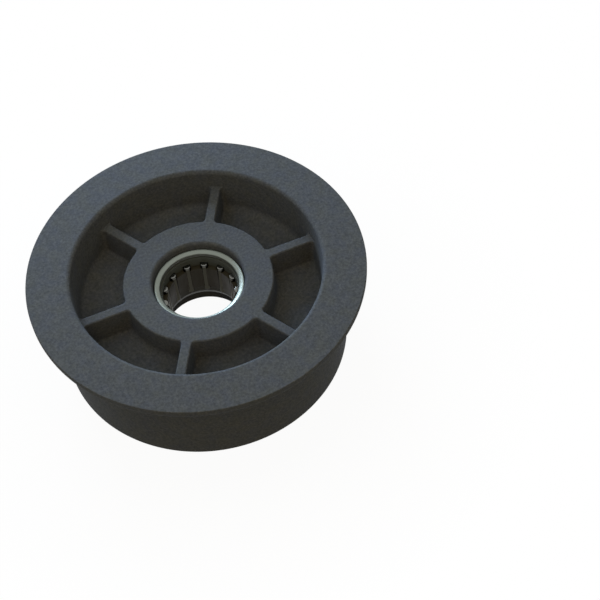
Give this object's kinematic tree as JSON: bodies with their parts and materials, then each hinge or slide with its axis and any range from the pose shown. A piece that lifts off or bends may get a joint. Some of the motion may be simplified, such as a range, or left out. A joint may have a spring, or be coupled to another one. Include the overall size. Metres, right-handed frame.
{
  "type": "belt pulley",
  "caption": "Flanged belt idler pulley: a ribbed one-piece moulded wheel with a plain belt face, turning on a needle roller bearing pressed into its hub.",
  "frame": {"origin": "on the axis, in the plane of the wheel's lower end, where it rests", "axes": "+Z along the axis towards the flange, +X along one rib"},
  "size_m": [0.08, 0.08, 0.026],
  "materials": {
    "moulded_nylon": "slate black glass-filled nylon, matt and finely speckled as moulded",
    "drawn_steel": "bright drawn steel",
    "cage_black": "black moulded cage with a film of oil",
    "roller_steel": "ground bearing steel, darkened and under a film of oil"
  },
  "bodies": {
    "wheel": {"pulley_wheel": "moulded_nylon", "bearing_cup": "drawn_steel"},
    "cage": {"needle_cage": "cage_black"},
    "roller_01": {"needle_roller_01": "roller_steel"},
    "roller_02": {"needle_roller_02": "roller_steel"},
    "roller_03": {"needle_roller_03": "roller_steel"},
    "roller_04": {"needle_roller_04": "roller_steel"},
    "roller_05": {"needle_roller_05": "roller_steel"},
    "roller_06": {"needle_roller_06": "roller_steel"},
    "roller_07": {"needle_roller_07": "roller_steel"},
    "roller_08": {"needle_roller_08": "roller_steel"},
    "roller_09": {"needle_roller_09": "roller_steel"},
    "roller_10": {"needle_roller_10": "roller_steel"},
    "roller_11": {"needle_roller_11": "roller_steel"},
    "roller_12": {"needle_roller_12": "roller_steel"},
    "roller_13": {"needle_roller_13": "roller_steel"}
  },
  "joints": [
    {"name": "cage_spin", "type": "hinge", "parent": "wheel", "child": "cage", "pos_m": [0, 0, 0.01115], "axis": [0, 0, 1], "continuous": true},
    {"name": "roller_01_spin", "type": "hinge", "parent": "cage", "child": "roller_01", "pos_m": [0.00891, 0.00128, 0.01115], "axis": [0, 0, 1], "continuous": true},
    {"name": "roller_02_spin", "type": "hinge", "parent": "cage", "child": "roller_02", "pos_m": [0.00729, 0.00528, 0.01115], "axis": [0, 0, 1], "continuous": true},
    {"name": "roller_03_spin", "type": "hinge", "parent": "cage", "child": "roller_03", "pos_m": [0.004, 0.00806, 0.01115], "axis": [0, 0, 1], "continuous": true},
    {"name": "roller_04_spin", "type": "hinge", "parent": "cage", "child": "roller_04", "pos_m": [-0.0002, 0.009, 0.01115], "axis": [0, 0, 1], "continuous": true},
    {"name": "roller_05_spin", "type": "hinge", "parent": "cage", "child": "roller_05", "pos_m": [-0.00436, 0.00787, 0.01115], "axis": [0, 0, 1], "continuous": true},
    {"name": "roller_06_spin", "type": "hinge", "parent": "cage", "child": "roller_06", "pos_m": [-0.00752, 0.00495, 0.01115], "axis": [0, 0, 1], "continuous": true},
    {"name": "roller_07_spin", "type": "hinge", "parent": "cage", "child": "roller_07", "pos_m": [-0.00896, 0.00089, 0.01115], "axis": [0, 0, 1], "continuous": true},
    {"name": "roller_08_spin", "type": "hinge", "parent": "cage", "child": "roller_08", "pos_m": [-0.00834, -0.00338, 0.01115], "axis": [0, 0, 1], "continuous": true},
    {"name": "roller_09_spin", "type": "hinge", "parent": "cage", "child": "roller_09", "pos_m": [-0.00582, -0.00687, 0.01115], "axis": [0, 0, 1], "continuous": true},
    {"name": "roller_10_spin", "type": "hinge", "parent": "cage", "child": "roller_10", "pos_m": [-0.00196, -0.00878, 0.01115], "axis": [0, 0, 1], "continuous": true},
    {"name": "roller_11_spin", "type": "hinge", "parent": "cage", "child": "roller_11", "pos_m": [0.00235, -0.00869, 0.01115], "axis": [0, 0, 1], "continuous": true},
    {"name": "roller_12_spin", "type": "hinge", "parent": "cage", "child": "roller_12", "pos_m": [0.00612, -0.0066, 0.01115], "axis": [0, 0, 1], "continuous": true},
    {"name": "roller_13_spin", "type": "hinge", "parent": "cage", "child": "roller_13", "pos_m": [0.00848, -0.003, 0.01115], "axis": [0, 0, 1], "continuous": true}
  ],
  "couplings": [
    {"joint": "roller_01_spin", "follows": "cage_spin", "ratio": -10.05},
    {"joint": "roller_02_spin", "follows": "cage_spin", "ratio": -10.05},
    {"joint": "roller_03_spin", "follows": "cage_spin", "ratio": -10.05},
    {"joint": "roller_04_spin", "follows": "cage_spin", "ratio": -10.05},
    {"joint": "roller_05_spin", "follows": "cage_spin", "ratio": -10.05},
    {"joint": "roller_06_spin", "follows": "cage_spin", "ratio": -10.05},
    {"joint": "roller_07_spin", "follows": "cage_spin", "ratio": -10.05},
    {"joint": "roller_08_spin", "follows": "cage_spin", "ratio": -10.05},
    {"joint": "roller_09_spin", "follows": "cage_spin", "ratio": -10.05},
    {"joint": "roller_10_spin", "follows": "cage_spin", "ratio": -10.05},
    {"joint": "roller_11_spin", "follows": "cage_spin", "ratio": -10.05},
    {"joint": "roller_12_spin", "follows": "cage_spin", "ratio": -10.05},
    {"joint": "roller_13_spin", "follows": "cage_spin", "ratio": -10.05}
  ]
}
